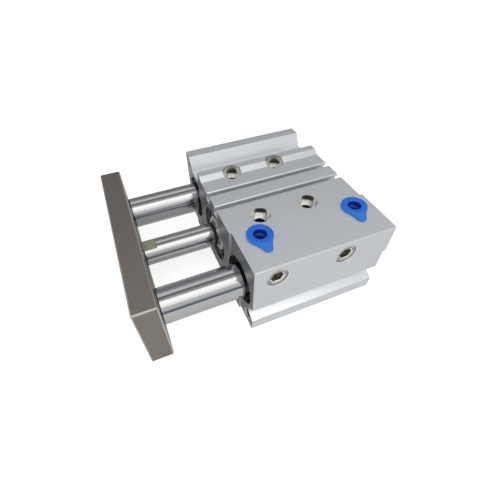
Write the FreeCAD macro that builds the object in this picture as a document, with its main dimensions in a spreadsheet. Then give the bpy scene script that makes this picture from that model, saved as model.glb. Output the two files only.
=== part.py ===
import FreeCAD, Part
import math
import os

import Sketcher

# Guided pneumatic cylinder: an extruded body with one bore and two guide rods, which push a plate.
# +X is the way the plate moves out, +Y the side with the plugged ports, +Z up, all in millimetres.
# The origin is the middle of the four mounting holes, on the bottom face. The stroke is fully out.

os.makedirs("parts", exist_ok=True)
doc = FreeCAD.newDocument("guided_cylinder")

DRIVING_SIZES = [
    ("stroke", 30, "travel of the plate"),
    ("body_base_length", 37.5, "length of the body without the stroke"),
    ("body_width", 93, "body along Y"),
    ("body_height", 42, "body along Z, to the main top face"),
    ("front_face", 29, "middle of the mounting holes to the front face"),
    ("axis_height", 21, "bottom face to the axes of the rods"),
    ("guide_spacing", 64, "between the guide rods' axes"),
    ("guide_radius", 8, "guide rod"),
    ("rod_radius", 6, "piston rod"),
    ("bore_radius", 12.5, "cylinder bore"),
    ("plate_gap", 6, "body to plate with the stroke in"),
    ("plate_thickness", 10, "tooling plate along X"),
    ("plate_width", 91, "tooling plate along Y"),
    ("plate_height", 38, "tooling plate along Z"),
    ("plate_taps_wide", 78, "threads of the plate, along Y"),
    ("plate_taps_high", 26, "threads of the plate, along Z"),
    ("holes_long", 24, "mounting holes, along X"),
    ("holes_wide", 34, "mounting holes, along Y"),
    ("mount_radius", 2.8, "mounting hole"),
    ("counterbore_radius", 4.75, "seat for the mounting bolt's head"),
    ("counterbore_depth", 4.5, "seat below the top face"),
    ("port_radius", 4.86, "pipe thread of 1/8 inch"),
    ("port_depth", 8.5, "port below the top face"),
    ("port_offset", 28.5, "ports on the top face, along Y"),
    ("front_port_inset", 11.5, "front port behind the front face"),
    ("rear_port_inset", 9, "rear port before the rear face"),
    ("side_port_height", 34.5, "side ports above the bottom face"),
    ("side_port_pitch", 32.5, "between the side ports"),
    ("side_port_depth", 7, "side ports below the side face"),
    ("passage_radius", 1.6, "air passages"),
    ("tap_radius", 2.5, "thread of 6 mm, as drilled"),
    ("end_taps_wide", 82, "threads in the end faces, along Y"),
    ("rear_taps_high", 33, "threads in the rear face, along Z"),
    ("low_tap_height", 5.5, "lower threads in the front face, above the bottom face"),
    ("slot_spacing", 50, "between the slots in the bottom face"),
    ("ring_thickness", 1.2, "retaining rings"),
    ("front_seat_radius", 14.25, "seat of the rod cover"),
    ("rear_seat_radius", 13.25, "seat of the head cover"),
    ("rod_boss_radius", 9, "boss of the rod cover, inside its retaining ring"),
    ("bush_seat_radius", 10.5, "seat of the guide bushes"),
    ("felt_seat_radius", 11.6, "seat of the felts in front of the bushes"),
    ("running_gap", 0.04, "radial gap where a piece slides in another"),
    ("static_gap", 0.03, "radial gap where a piece is pressed in"),
]


class Size:
    """A length worked out from the sheet: its present value, and the expression that keeps it so."""

    def __init__(self, value, text):
        self.value = value
        self.text = text

    def __add__(self, other):
        return Size(self.value + value_of(other), f"({self.text} + {text_of(other)})")

    def __radd__(self, other):
        return Size(value_of(other) + self.value, f"({text_of(other)} + {self.text})")

    def __sub__(self, other):
        return Size(self.value - value_of(other), f"({self.text} - {text_of(other)})")

    def __rsub__(self, other):
        return Size(value_of(other) - self.value, f"({text_of(other)} - {self.text})")

    def __mul__(self, factor):
        return Size(self.value * factor, f"({self.text} * {factor})")

    def __truediv__(self, factor):
        return Size(self.value / factor, f"({self.text} / {factor})")

    def __neg__(self):
        return Size(-self.value, f"(-1 * {self.text})")


def value_of(size):
    """Number behind a Size or a plain number."""
    return size.value if isinstance(size, Size) else size


def text_of(size):
    """Expression behind a Size or a plain number."""
    return size.text if isinstance(size, Size) else str(size)


def fill_sheet():
    """Write the driving sizes to the sheet and hand them back by name."""
    sheet = doc.addObject("Spreadsheet::Sheet", "Dims")
    sizes = {}
    for row, (alias, number, note) in enumerate(DRIVING_SIZES, start=1):
        sheet.set(f"A{row}", alias)
        sheet.set(f"B{row}", str(number))
        sheet.set(f"C{row}", note)
        sheet.setAlias(f"B{row}", alias)
        sizes[alias] = Size(number, f"Dims.{alias}")
    doc.recompute()
    return sizes


dim = fill_sheet()

# Places along X that several pieces share.
front = dim["front_face"]
rear = front - dim["body_base_length"] - dim["stroke"]
plate_inner = front + dim["plate_gap"] + dim["stroke"]
plate_outer = plate_inner + dim["plate_thickness"]
rod_ring_back = front - 3
rod_boss_front = front - 0.8
rod_cover_step = front - 9
rod_cover_nose = front - 16
piston_front = front - 18
piston_rear = piston_front - 9
head_cover_front = rear + 7.3
head_cover_rear = rear + 3.5
bush_front = front - 8.5
felt_front = bush_front + 2
holder_front = felt_front + 1
guide_rod_rear = rear + dim["stroke"] + 1
front_port = front - dim["front_port_inset"]
rear_port = rear + dim["rear_port_inset"]
guide_offset = dim["guide_spacing"] / 2
half_width = dim["body_width"] / 2
top = dim["body_height"]
middle = dim["axis_height"]
ridge_top = top + 1.9
passage_height = top - 8.4


# ---------------------------------------------------------------------------------------------
# Sketching and features
# ---------------------------------------------------------------------------------------------

def bind(item, path, size):
    """Tie a property to the sheet, or set it from a plain number's expression."""
    item.setExpression(path, text_of(size))


def new_body(name):
    """Empty body whose label is the sub-part's name."""
    body = doc.addObject("PartDesign::Body", name)
    body.Label = name
    return body


def origin_feature(body, role):
    """A plane or axis of the body's own origin, found by its role."""
    for feature in body.Origin.OriginFeatures:
        if feature.Role == role:
            return feature
    raise ValueError(role)


def new_sketch(body, name, role, offset=None):
    """Sketch on one of the body's origin planes, moved along that plane's normal by offset."""
    sketch = body.newObject("Sketcher::SketchObject", name)
    sketch.AttachmentSupport = [(origin_feature(body, role), "")]
    sketch.MapMode = "FlatFace"
    if offset is not None:
        bind(sketch, "AttachmentOffset.Base.z", offset)
    return sketch


def add_constraints(sketch, wanted):
    """Add (constraint, size) pairs, and bind each one that has a size from the sheet."""
    numbers = sketch.addConstraint([constraint for constraint, _ in wanted])
    for number, (_, size) in zip(numbers, wanted):
        if isinstance(size, Size):
            bind(sketch, f"Constraints[{number}]", size)


def point_constraints(geometry, position, across, up):
    """Constraints that hold one point of a sketch at its place."""
    wanted = []
    for kind, axis, size in (("DistanceX", -2, across), ("DistanceY", -1, up)):
        if abs(value_of(size)) < 1e-9:
            wanted.append((Sketcher.Constraint("PointOnObject", geometry, position, axis), None))
        else:
            held = Sketcher.Constraint(kind, -1, 1, geometry, position, value_of(size))
            wanted.append((held, size))
    return wanted


def draw_outline(sketch, corners):
    """Closed outline of straight lines through the corners, each a pair of sizes."""
    first = sketch.GeometryCount
    points = [FreeCAD.Vector(value_of(across), value_of(up), 0) for across, up in corners]
    lines = [Part.LineSegment(start, end) for start, end in zip(points, points[1:] + points[:1])]
    sketch.addGeometry(lines, False)
    wanted = []
    for index, (across, up) in enumerate(corners):
        line = first + index
        following = first + (index + 1) % len(corners)
        wanted.append((Sketcher.Constraint("Coincident", line, 2, following, 1), None))
        wanted += point_constraints(line, 1, across, up)
    add_constraints(sketch, wanted)


def draw_circle(sketch, across, up, radius):
    """Circle at a place in the sketch."""
    centre = FreeCAD.Vector(value_of(across), value_of(up), 0)
    number = sketch.addGeometry(Part.Circle(centre, FreeCAD.Vector(0, 0, 1), value_of(radius)), False)
    wanted = point_constraints(number, 3, across, up)
    wanted.append((Sketcher.Constraint("Radius", number, value_of(radius)), radius))
    add_constraints(sketch, wanted)


def hexagon_corners(across_flats):
    """Six corners of a hexagonal socket."""
    corner_radius = across_flats / math.sqrt(3)
    turns = [math.radians(60 * step) for step in range(6)]
    return [(corner_radius * math.cos(turn), corner_radius * math.sin(turn)) for turn in turns]


def pad(body, name, sketch, length, reverse=False):
    """Extrude a sketch into material."""
    feature = body.newObject("PartDesign::Pad", name)
    feature.Profile = sketch
    bind(feature, "Length", length)
    feature.Reversed = reverse
    return feature


def pocket(body, name, sketch, depth=None, reverse=False):
    """Cut a sketch out, through everything where no depth is given."""
    feature = body.newObject("PartDesign::Pocket", name)
    feature.Profile = sketch
    if depth is None:
        feature.Type = "ThroughAll"
    else:
        bind(feature, "Length", depth)
    feature.Reversed = reverse
    return feature


def revolve(body, name, sketch, axis="H_Axis"):
    """Turn a sketch a full circle about one of its own axes."""
    feature = body.newObject("PartDesign::Revolution", name)
    feature.Profile = sketch
    feature.ReferenceAxis = (sketch, [axis])
    feature.Angle = 360
    return feature


def turned_body(name, corners, along=None, aside=None, height=middle):
    """Body turned about the X direction from a profile of (place along X, radius) corners."""
    body = new_body(name)
    sketch = new_sketch(body, f"{name}_profile", "XY_Plane")
    draw_outline(sketch, corners)
    revolve(body, f"{name}_turned", sketch)
    set_place(body, along, aside, height)
    return body


def set_place(body, along=None, aside=None, height=None):
    """Move a finished body to its place in the assembly."""
    for axis, size in (("x", along), ("y", aside), ("z", height)):
        if size is not None:
            bind(body, f"Placement.Base.{axis}", size)


def edges_at(feature, wanted):
    """Names of the straight edges whose middle and direction satisfy a test."""
    names = []
    for number, edge in enumerate(feature.Shape.Edges, start=1):
        start = edge.valueAt(edge.FirstParameter)
        end = edge.valueAt(edge.LastParameter)
        if edge.Curve.TypeId == "Part::GeomLine" and wanted((start + end) / 2, end - start):
            names.append(f"Edge{number}")
    return names


def dress(body, kind, name, feature, edges, size):
    """Fillet or chamfer some edges of a feature."""
    finish = body.newObject(kind, name)
    finish.Base = (feature, edges)
    if kind == "PartDesign::Fillet":
        finish.Radius = size
    else:
        finish.Size = size
    return finish


# ---------------------------------------------------------------------------------------------
# Extruded body
# ---------------------------------------------------------------------------------------------

SWITCH_GROOVE = dict(
    centre=5.4, mouth=1.65, ease=0.4, throat=1.25, lip=1.5, inner=2.4, knee=3.7, floor=4.8, floor_half=1.5
)
BOTTOM_SLOT = dict(mouth=2.7, lip=3.0, inner=4.2, head=7.5, depth=8.2)


def switch_groove_corners(centre):
    """Undercut groove in the top face that holds a sensor, from its +Y lip to its -Y lip."""
    groove = SWITCH_GROOVE
    one_side = [
        (groove["mouth"], top),
        (groove["throat"], top - groove["ease"]),
        (groove["throat"], top - groove["lip"]),
        (groove["inner"], top - groove["lip"]),
        (groove["inner"], top - groove["knee"]),
        (groove["floor_half"], top - groove["floor"]),
    ]
    plus = [(centre + half, height) for half, height in one_side]
    minus = [(centre - half, height) for half, height in reversed(one_side)]
    return plus + minus


def bottom_slot_corners(centre):
    """T-slot in the bottom face for a square nut, from its -Y lip to its +Y lip."""
    slot = BOTTOM_SLOT
    one_side = [
        (slot["mouth"], 0),
        (slot["mouth"], slot["lip"]),
        (slot["inner"], slot["lip"]),
        (slot["inner"], slot["head"]),
        (slot["mouth"], slot["depth"]),
    ]
    minus = [(centre - half, height) for half, height in one_side]
    plus = [(centre + half, height) for half, height in reversed(one_side)]
    return minus + plus


def side_corners():
    """Flange, side groove and side face on +Y, from the bottom up."""
    floor = half_width - 4.2
    return [(half_width, 0), (half_width, 6.8), (floor, 9.1), (floor, 12), (half_width, 16)]


def section_corners():
    """Whole extruded section across X, counter-clockwise from the foot of the +Y side."""
    slot_centre = dim["slot_spacing"] / 2
    corners = side_corners()
    corners.append((half_width, top))
    corners += switch_groove_corners(SWITCH_GROOVE["centre"])
    corners += switch_groove_corners(-SWITCH_GROOVE["centre"])
    corners += [(-15.5, top), (-18.2, ridge_top), (-22.2, ridge_top)]
    corners += [(-22.2, top - 6.7), (-36.2, top - 6.7)]
    corners += [(6.5 - half_width, top), (-half_width, top)]
    corners += [(-across, height) for across, height in reversed(side_corners())]
    corners += bottom_slot_corners(-slot_centre)
    corners += bottom_slot_corners(slot_centre)
    return corners


def extrude_section(body):
    """Saw a length of the extrusion, with its long outer corners eased."""
    sketch = new_sketch(body, "section", "YZ_Plane", rear)
    draw_outline(sketch, section_corners())
    billet = pad(body, "extrusion", sketch, front - rear)
    doc.recompute()
    reach = value_of(half_width) - 0.01

    def outer_corner(middle_point, direction):
        at_corner = middle_point.z < 0.01 or middle_point.z > value_of(top) - 0.01
        return abs(direction.x) > 1 and abs(middle_point.y) > reach and at_corner

    dress(body, "PartDesign::Fillet", "eased_corners", billet, edges_at(billet, outer_corner), 0.5)


def mill_ends(body):
    """Mill the outer zones of the front face back, and all but the upper corners of the rear face."""
    beyond = half_width + 2
    sketch = new_sketch(body, "front_zones", "YZ_Plane", front)
    for side in (1, -1):
        zone = [(22.2, ridge_top + 2), (beyond, ridge_top + 2), (beyond, -2), (33.3, -2)]
        zone += [(33.3, middle), (22.2, middle)]
        draw_outline(sketch, [(across * side, height) for across, height in zone])
    pocket(body, "front_milling", sketch, 1)
    sketch = new_sketch(body, "rear_zone", "YZ_Plane", rear)
    half_zone = [(beyond, -2), (beyond, 26.8), (22.2, 26.8), (22.2, ridge_top + 2)]
    zone = half_zone + [(-across, height) for across, height in reversed(half_zone)]
    draw_outline(sketch, zone)
    pocket(body, "rear_milling", sketch, 1.3, reverse=True)


def bore_groove(body, name, aside, profile):
    """Cut a stepped bore through the body, about an axis at the rods' height."""
    sketch = new_sketch(body, f"{name}_profile", "XZ_Plane", -aside if value_of(aside) else None)
    draw_outline(sketch, [(along, middle + radius) for along, radius in profile])
    number = sketch.addGeometry(
        Part.LineSegment(FreeCAD.Vector(-50, value_of(middle), 0), FreeCAD.Vector(50, value_of(middle), 0)),
        True,
    )
    wanted = point_constraints(number, 1, -50, middle) + point_constraints(number, 2, 50, middle)
    add_constraints(sketch, wanted)
    groove = body.newObject("PartDesign::Groove", name)
    groove.Profile = sketch
    groove.ReferenceAxis = (sketch, ["Axis0"])
    groove.Angle = 360
    return groove


def cut_bores(body):
    """Bore the cylinder and the two guides, each with its seats and ring grooves."""
    bore = dim["bore_radius"]
    seat = dim["front_seat_radius"]
    rear_seat = dim["rear_seat_radius"]
    ring_front = rod_ring_back + dim["ring_thickness"]
    ring_rear = head_cover_rear - dim["ring_thickness"]
    centre_profile = [
        (front + 1, 0), (front + 1, seat), (ring_front, seat), (ring_front, seat + 0.75),
        (rod_ring_back, seat + 0.75), (rod_ring_back, seat), (rod_cover_step, seat),
        (rod_cover_step, bore), (head_cover_front, bore), (head_cover_front, rear_seat),
        (head_cover_rear, rear_seat), (head_cover_rear, rear_seat + 0.7),
        (ring_rear, rear_seat + 0.7), (ring_rear, rear_seat), (rear - 1, rear_seat), (rear - 1, 0),
    ]
    bore_groove(body, "cylinder_bore", 0, centre_profile)
    felt_seat = dim["felt_seat_radius"]
    bush_seat = dim["bush_seat_radius"]
    guide_ring_front = holder_front + dim["ring_thickness"]
    guide_profile = [
        (front + 1, 0), (front + 1, felt_seat), (guide_ring_front, felt_seat),
        (guide_ring_front, felt_seat + 0.7), (holder_front, felt_seat + 0.7),
        (holder_front, felt_seat), (bush_front, felt_seat), (bush_front, bush_seat),
        (rear - 1, bush_seat), (rear - 1, 0),
    ]
    guide = bore_groove(body, "guide_bore", guide_offset, guide_profile)
    mirrored = body.newObject("PartDesign::Mirrored", "guide_bore_pair")
    mirrored.Originals = [guide]
    mirrored.MirrorPlane = (origin_feature(body, "XZ_Plane"), [""])
    body.Tip = mirrored


def drill_mounting_holes(body):
    """Four bolt holes from the top, with flat seats that cut through the ridge on -Y."""
    sketch = new_sketch(body, "mounting_holes", "XY_Plane", ridge_top)
    for along in (-1, 1):
        for across in (-1, 1):
            place = (dim["holes_long"] * (along / 2), dim["holes_wide"] * (across / 2))
            draw_circle(sketch, *place, dim["mount_radius"])
    doc.recompute()
    hole = body.newObject("PartDesign::Hole", "bolt_holes")
    hole.Profile = sketch
    hole.Threaded = False
    hole.ThreadType = "None"
    hole.DepthType = "ThroughAll"
    hole.HoleCutType = "Counterbore"
    hole.HoleCutCustomValues = True
    bind(hole, "Diameter", dim["mount_radius"] * 2)
    bind(hole, "HoleCutDiameter", dim["counterbore_radius"] * 2)
    bind(hole, "HoleCutDepth", dim["counterbore_depth"] + (ridge_top - top))
    return hole


def drill(body, name, role, start, places, depth, reverse=False):
    """Round blind holes from one plane: places are (across, up, radius) in that plane."""
    sketch = new_sketch(body, f"{name}_places", role, start)
    for across, up, radius in places:
        draw_circle(sketch, across, up, radius)
    return pocket(body, name, sketch, depth, reverse)


def drill_ports(body):
    """Ports in the top and side faces, and the passages that join them to the bore."""
    port = dim["port_radius"]
    drill_y = dim["port_offset"]
    side_height = dim["side_port_height"]
    side_rear = front_port - dim["side_port_pitch"]
    passage = dim["passage_radius"]
    side_floor = half_width - dim["side_port_depth"]
    top_ports = [(front_port, drill_y, port), (rear_port, drill_y, port)]
    drill(body, "top_ports", "XY_Plane", top, top_ports, dim["port_depth"])
    side_ports = [(front_port, side_height, port), (side_rear, side_height, port)]
    drill(body, "side_ports", "XZ_Plane", -half_width, side_ports, dim["side_port_depth"], reverse=True)
    behind_side = side_floor + 0.5
    front_passage = [(front_port, passage_height, passage)]
    drill(body, "front_passage", "XZ_Plane", -behind_side, front_passage, behind_side, reverse=True)
    rear_passage = [(rear_port, passage_height, passage)]
    drill(body, "rear_passage", "XZ_Plane", -drill_y, rear_passage, drill_y, reverse=True)
    link = [(side_rear, side_height, passage)]
    drill(body, "side_link", "XZ_Plane", -behind_side, link, behind_side - 31, reverse=True)
    long_link = [(31, side_height + 1.7, passage)]
    drill(body, "long_link", "YZ_Plane", rear, long_link, side_rear - rear, reverse=True)
    ball_mouth = [(31, side_height + 1.7, passage + 0.1)]
    drill(body, "ball_mouth", "YZ_Plane", rear, ball_mouth, 3.5, reverse=True)


def tap_faces(body):
    """Threads in both end faces, and the dowel hole and slot in the bottom face."""
    half_taps = dim["end_taps_wide"] / 2
    half_rise = dim["rear_taps_high"] / 2
    tap = dim["tap_radius"]
    low = dim["low_tap_height"]
    front_places = [(half_taps, low, tap), (-half_taps, low, tap), (-half_taps, 36, tap)]
    drill(body, "front_taps", "YZ_Plane", front, front_places, 13)
    rear_places = [
        (half_taps * across, middle + half_rise * up, tap) for across in (-1, 1) for up in (-1, 1)
    ]
    drill(body, "rear_taps", "YZ_Plane", rear, rear_places, 13, reverse=True)
    dowel = (dim["holes_long"] / 2, 0, 2)
    drill(body, "dowel_hole", "XY_Plane", 0, [dowel], 6, reverse=True)
    sketch = new_sketch(body, "dowel_slot_outline", "XY_Plane")
    slot_x = dim["holes_long"] * -0.5
    slot = [(slot_x - 2.5, -2), (slot_x + 2.5, -2), (slot_x + 2.5, 2), (slot_x - 2.5, 2)]
    draw_outline(sketch, slot)
    pocket(body, "dowel_slot", sketch, 6, reverse=True)


def make_cylinder_body():
    """Aluminium body, extruded and then machined from every side."""
    body = new_body("cylinder_body")
    extrude_section(body)
    mill_ends(body)
    cut_bores(body)
    drill_mounting_holes(body)
    drill_ports(body)
    tap_faces(body)
    return body


# ---------------------------------------------------------------------------------------------
# Covers, seals and retaining rings of the cylinder bore
# ---------------------------------------------------------------------------------------------

def make_rod_cover():
    """Front cover with a boss about the piston rod, an O-ring groove outside and a seal groove inside."""
    rim = dim["front_seat_radius"] - dim["static_gap"]
    rod_hole = dim["rod_radius"] + dim["running_gap"]
    boss = dim["rod_boss_radius"]
    nose = dim["bore_radius"] - 2
    profile = [
        (rod_boss_front, rod_hole + 0.6), (rod_boss_front, boss - 0.5), (rod_boss_front - 0.5, boss),
        (rod_ring_back, boss), (rod_ring_back, rim - 0.4), (rod_ring_back - 0.4, rim),
        (rod_cover_step + 4.4, rim), (rod_cover_step + 4.4, rim - 2), (rod_cover_step + 1.8, rim - 2),
        (rod_cover_step + 1.8, rim), (rod_cover_step, rim), (rod_cover_step, nose),
        (rod_cover_nose + 0.6, nose), (rod_cover_nose, nose - 0.6), (rod_cover_nose, rod_hole),
        (rod_ring_back - 4.8, rod_hole), (rod_ring_back - 4.8, rod_hole + 3),
        (rod_ring_back - 1.2, rod_hole + 3), (rod_ring_back - 1.2, rod_hole + 0.6),
    ]
    return turned_body("rod_cover", profile)


def make_rod_seal():
    """Lip seal on the piston rod, with its lips towards the pressure."""
    inner = dim["rod_radius"] + dim["running_gap"]
    heel = rod_ring_back - 1.3
    profile = [
        (heel, inner + 0.4), (heel, inner + 2.9), (heel - 3.3, inner + 2.9), (heel - 3.3, inner + 2.2),
        (heel - 1.5, inner + 1.8), (heel - 1.5, inner + 1.1), (heel - 3.3, inner + 0.6),
        (heel - 3.3, inner),
    ]
    return turned_body("rod_seal", profile)


def make_o_ring(name, along, inner, outer, width):
    """O-ring squeezed flat between its groove and the bore, so only its sides bulge."""
    half_flat = width / 2 - 0.3
    waist = (inner + outer) / 2
    profile = [
        (along + half_flat, inner), (along + width / 2, waist), (along + half_flat, outer),
        (along - half_flat, outer), (along - width / 2, waist), (along - half_flat, inner),
    ]
    return turned_body(name, profile)


def make_head_cover():
    """Disc that closes the rear of the bore, with an O-ring groove and a dished back."""
    rim = dim["rear_seat_radius"] - dim["static_gap"]
    profile = [
        (head_cover_front, 0), (head_cover_front, rim - 0.3), (head_cover_front - 0.3, rim),
        (head_cover_front - 0.8, rim), (head_cover_front - 0.8, rim - 1.8),
        (head_cover_front - 3, rim - 1.8), (head_cover_front - 3, rim), (head_cover_rear, rim),
        (head_cover_rear, 8.5), (head_cover_rear + 0.8, 7.7), (head_cover_rear + 0.8, 0),
    ]
    return turned_body("head_cover", profile)


def make_retaining_ring(name, along, aside, groove_radius, width, ear_radius, ear_spread):
    """Spring ring in a bore's groove: an open ring with an eared and drilled end at each side."""
    outer = groove_radius - 0.05
    body = new_body(name)
    thickness = dim["ring_thickness"]
    ring = new_sketch(body, f"{name}_ring", "YZ_Plane")
    draw_circle(ring, 0, 0, outer)
    draw_circle(ring, 0, -0.15 * width, outer - 0.85 * width)
    pad(body, f"{name}_blank", ring, thickness)
    ear_place = outer - ear_radius - 0.9
    turn = math.radians(ear_spread)
    ear_places = [(ear_place * (side * math.sin(turn)), ear_place * -math.cos(turn)) for side in (1, -1)]
    ears = new_sketch(body, f"{name}_ears", "YZ_Plane")
    for across, up in ear_places:
        draw_circle(ears, across, up, ear_radius)
    pad(body, f"{name}_eared", ears, thickness)
    gap = new_sketch(body, f"{name}_gap", "YZ_Plane")
    half_gap = ear_place.value * math.sin(turn) - 0.45 * ear_radius
    draw_outline(gap, [(-half_gap, -outer - 1), (half_gap, -outer - 1), (half_gap, -4), (-half_gap, -4)])
    pocket(body, f"{name}_opened", gap, reverse=True)
    holes = new_sketch(body, f"{name}_holes", "YZ_Plane")
    for across, up in ear_places:
        draw_circle(holes, across, up, 0.42 * ear_radius)
    pocket(body, f"{name}_drilled", holes, reverse=True)
    set_place(body, along, aside, middle)
    return body


def make_bore_fittings():
    """Everything that closes and seals the cylinder bore."""
    make_rod_cover()
    make_rod_seal()
    front_rim = dim["front_seat_radius"] - dim["static_gap"]
    rear_rim = dim["rear_seat_radius"] - dim["static_gap"]
    make_o_ring("rod_cover_gasket", rod_cover_step + 3.1, front_rim - 1.97, front_rim, 2.4)
    make_head_cover()
    make_o_ring("head_cover_gasket", head_cover_front - 1.9, rear_rim - 1.77, rear_rim, 2)
    front_groove = dim["front_seat_radius"] + 0.75
    rear_groove = dim["rear_seat_radius"] + 0.7
    make_retaining_ring("front_retaining_ring", rod_ring_back, None, front_groove, 2.6, 1.9, 16)
    rear_ring_place = head_cover_rear - dim["ring_thickness"]
    make_retaining_ring("rear_retaining_ring", rear_ring_place, None, rear_groove, 2.4, 2, 17)


# ---------------------------------------------------------------------------------------------
# Guides in the body
# ---------------------------------------------------------------------------------------------

def make_guide_bush(name, bush_end, length, aside):
    """Plain bush that a guide rod slides in, eased where it is pressed in."""
    inner = dim["guide_radius"] + dim["running_gap"]
    outer = dim["bush_seat_radius"] - dim["static_gap"]
    back = bush_end - length
    profile = [(bush_end, inner), (bush_end, outer), (back + 0.6, outer), (back, outer - 0.6), (back, inner)]
    return turned_body(name, profile, aside=aside)


def make_flat_ring(name, ring_front, thickness, inner, outer, aside):
    """Flat ring with square edges."""
    back = ring_front - thickness
    profile = [(ring_front, inner), (ring_front, outer), (back, outer), (back, inner)]
    return turned_body(name, profile, aside=aside)


def make_guides():
    """Two bushes, a wiper felt, its holder and a retaining ring for each guide rod."""
    seat = dim["felt_seat_radius"]
    rod = dim["guide_radius"]
    for side_name, side in (("left", 1), ("right", -1)):
        aside = guide_offset * side
        make_guide_bush(f"guide_bush_front_{side_name}", bush_front, 12, aside)
        make_guide_bush(f"guide_bush_rear_{side_name}", bush_front - 15.5, 12, aside)
        make_flat_ring(f"felt_ring_{side_name}", felt_front, 2, rod + 0.05, seat - 0.05, aside)
        make_flat_ring(f"felt_holder_{side_name}", holder_front, 1, rod + 0.7, seat - 0.05, aside)
        make_retaining_ring(
            f"guide_retaining_ring_{side_name}", holder_front, aside, seat + 0.7, 1.9, 1.35, 14
        )


# ---------------------------------------------------------------------------------------------
# Plugs and dust caps of the ports
# ---------------------------------------------------------------------------------------------

def make_port_plug(name, along):
    """Socket plug screwed into a side port until it is just below the face."""
    body = new_body(name)
    radius = dim["port_radius"] - dim["static_gap"]
    length = dim["side_port_depth"] - 0.7
    sketch = new_sketch(body, f"{name}_profile", "XY_Plane")
    profile = [(0, 0), (0, radius - 0.5), (-0.5, radius), (-length + 0.6, radius)]
    profile += [(-length, radius - 0.6), (-length, 0)]
    draw_outline(sketch, profile)
    revolve(body, f"{name}_turned", sketch)
    socket = new_sketch(body, f"{name}_socket_outline", "YZ_Plane")
    draw_outline(socket, hexagon_corners(5))
    pocket(body, f"{name}_socket", socket, 3.6)
    body.Placement = FreeCAD.Placement(
        FreeCAD.Vector(0, 0, 0), FreeCAD.Rotation(FreeCAD.Vector(0, 0, 1), 90)
    )
    set_place(body, along, half_width - 0.3, dim["side_port_height"])
    return body


def make_passage_ball():
    """Steel ball pressed into the mouth of the long air passage."""
    body = new_body("passage_ball")
    ball = body.newObject("PartDesign::AdditiveSphere", "ball")
    bind(ball, "Radius", dim["passage_radius"] + 0.1 - dim["static_gap"])
    set_place(body, rear + 1.9, 31, dim["side_port_height"] + 1.7)
    return body


def make_port_cap(name, along, turn):
    """Moulded dust cap in a top port: a hollow stem, a flange and a tongue to pull it out by."""
    body = new_body(name)
    stem = dim["port_radius"] - 0.06
    seat = top + 0.05
    floor = top - 6.5
    sketch = new_sketch(body, f"{name}_profile", "XZ_Plane")
    profile = [
        (0, floor), (stem - 0.6, floor), (stem, floor + 1), (stem, seat), (5.9, seat),
        (5.9, seat + 0.7), (5.5, seat + 1.1), (2.9, seat + 1.1), (2.9, seat - 1.3), (2, seat - 1.3),
        (2, floor + 1.1), (0, floor + 1.1),
    ]
    draw_outline(sketch, profile)
    revolve(body, f"{name}_turned", sketch, "V_Axis")
    tongue = new_sketch(body, f"{name}_tongue_outline", "XY_Plane", seat)
    draw_outline(tongue, [(-4.6, 3.7), (4.6, 3.7), (1, 8.3), (-1, 8.3)])
    tongue_pad = pad(body, f"{name}_tongue", tongue, 0.9)
    doc.recompute()

    def tip_edge(middle_point, direction):
        return middle_point.y > 8.2 and abs(direction.z) > 0.5

    tips = edges_at(tongue_pad, tip_edge)
    dress(body, "PartDesign::Fillet", f"{name}_rounded", tongue_pad, tips, 1.8)
    body.Placement = FreeCAD.Placement(
        FreeCAD.Vector(0, 0, 0), FreeCAD.Rotation(FreeCAD.Vector(0, 0, 1), turn)
    )
    set_place(body, along, dim["port_offset"])
    return body


def make_port_closures():
    """Plugs of the side ports, the ball of the passage and the caps of the top ports."""
    make_port_plug("side_port_plug_front", front_port)
    make_port_plug("side_port_plug_rear", front_port - dim["side_port_pitch"])
    make_passage_ball()
    make_port_cap("port_cap_front", front_port, 3)
    make_port_cap("port_cap_rear", rear_port, -7)


# ---------------------------------------------------------------------------------------------
# Moving carriage: plate, rods, piston and the screws that hold them
# ---------------------------------------------------------------------------------------------

SCREW = dict(shank=2.95, head=5.0, head_height=6.0, length=16.0, socket=5.0, socket_depth=3.0)
SCREW_SEAT = dict(hole=3.3, radius=5.5, depth=6.2)
screw_seat = plate_outer - SCREW_SEAT["depth"]


def make_tooling_plate():
    """Plate that carries the load, with four threads and a sunk seat for each rod's screw."""
    body = new_body("tooling_plate")
    half_plate = dim["plate_width"] / 2
    low = middle - dim["plate_height"] / 2
    high = middle + dim["plate_height"] / 2
    sketch = new_sketch(body, "plate_outline", "YZ_Plane", plate_inner)
    draw_outline(sketch, [(-half_plate, low), (half_plate, low), (half_plate, high), (-half_plate, high)])
    slab = pad(body, "plate_slab", sketch, dim["plate_thickness"])
    doc.recompute()
    every_edge = edges_at(slab, lambda middle_point, direction: True)
    dress(body, "PartDesign::Chamfer", "plate_edges", slab, every_edge, 0.5)
    half_wide = dim["plate_taps_wide"] / 2
    half_high = dim["plate_taps_high"] / 2
    corners = [
        (half_wide * across, middle + half_high * up, dim["tap_radius"])
        for across in (-1, 1) for up in (-1, 1)
    ]
    drill(body, "plate_taps", "YZ_Plane", plate_outer, corners, None)
    rods = (-guide_offset, 0, guide_offset)
    holes = [(across, middle, SCREW_SEAT["hole"]) for across in rods]
    drill(body, "screw_holes", "YZ_Plane", plate_outer, holes, None)
    seats = [(across, middle, SCREW_SEAT["radius"]) for across in rods]
    drill(body, "screw_seats", "YZ_Plane", plate_outer, seats, SCREW_SEAT["depth"])
    return body


def threaded_end(radius):
    """Front end of a rod, seated on the plate: a drilled thread, with the outer edge eased."""
    thread = SCREW["shank"] + 0.05
    return [
        (plate_inner - 18, 0), (plate_inner - 16.2, thread), (plate_inner, thread),
        (plate_inner, radius - 0.5), (plate_inner - 0.5, radius),
    ]


def make_guide_rod(name, aside):
    """Ground steel rod with a turning centre in its rear end."""
    radius = dim["guide_radius"]
    tail = guide_rod_rear
    profile = threaded_end(radius)
    profile += [(tail + 1, radius), (tail, radius - 1), (tail, 2), (tail + 2.5, 0)]
    return turned_body(name, profile, aside=aside)


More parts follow.
